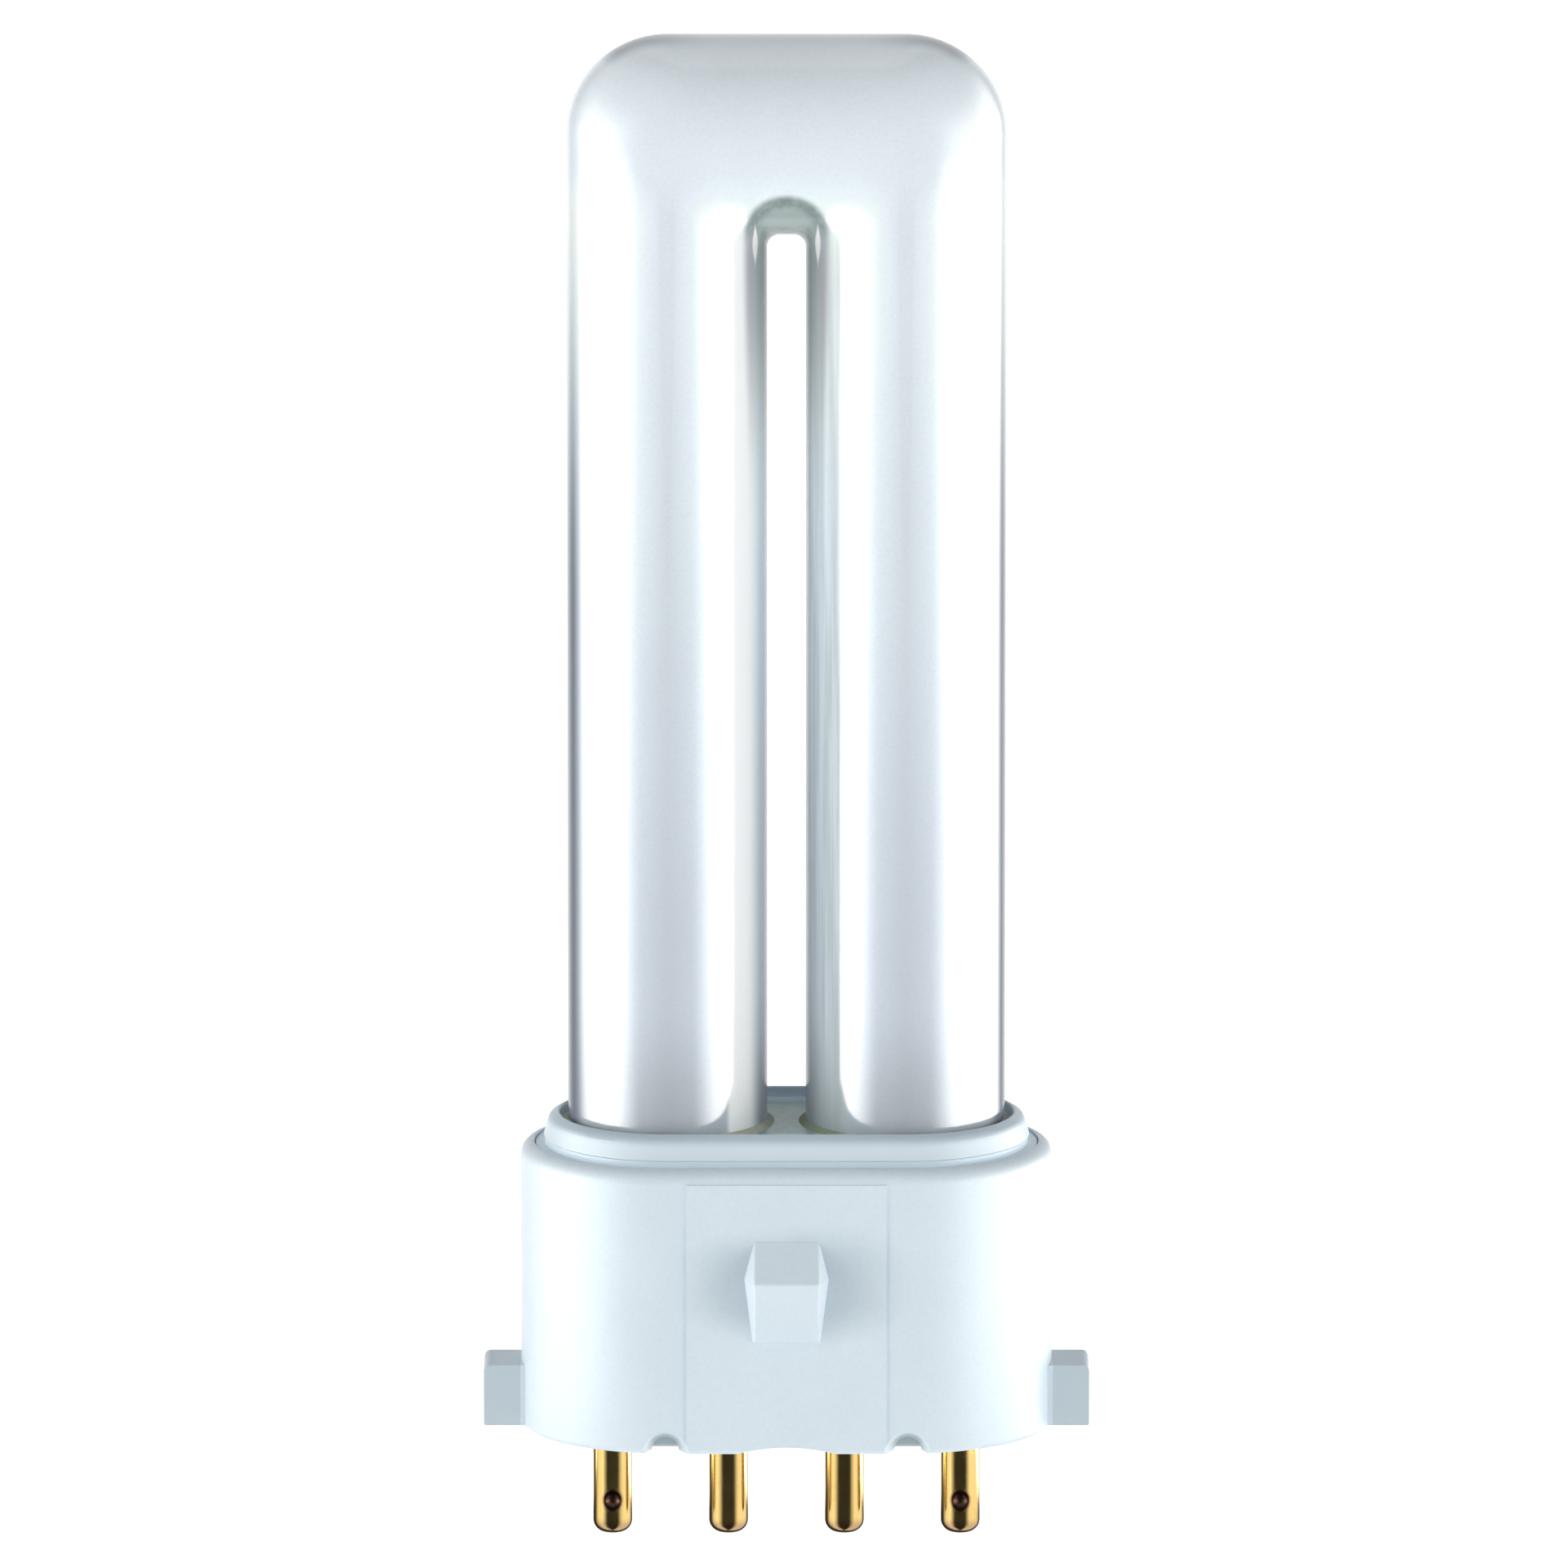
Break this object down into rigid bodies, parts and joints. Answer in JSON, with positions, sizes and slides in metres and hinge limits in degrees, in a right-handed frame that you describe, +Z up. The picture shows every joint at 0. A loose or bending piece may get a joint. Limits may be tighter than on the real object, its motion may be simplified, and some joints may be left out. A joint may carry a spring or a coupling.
{
  "type": "u-shaped fluorescent lamp",
  "caption": "Single-turn U-shaped compact fluorescent lamp: white coated glass tube cemented into an oval plug-in base with latch lugs, guide ears and a row of brass contact pins.",
  "frame": {"origin": "middle of the base's bottom face, where the lamp seats on its holder", "axes": "+Z up the lamp from the pins to the bend of the glass, X along the row of pins, -Y towards the front"},
  "size_m": [0.0364, 0.0212, 0.0919],
  "materials": {
    "coated_glass": "gloss",
    "shell_plastic": "satin",
    "holder_plastic": "satin",
    "cement": "matte",
    "pin_brass": "polished",
    "lead_metal": "satin"
  },
  "bodies": {
    "root": {"glass_tube": "coated_glass", "base_shell": "shell_plastic", "tube_holder": "holder_plastic", "cement_left": "cement", "cement_right": "cement", "contact_pin_1": "pin_brass", "contact_pin_2": "pin_brass", "contact_pin_3": "pin_brass", "contact_pin_4": "pin_brass", "lead_wire_1": "lead_metal", "lead_wire_2": "lead_metal", "lead_wire_3": "lead_metal", "lead_wire_4": "lead_metal"}
  },
  "joints": []
}
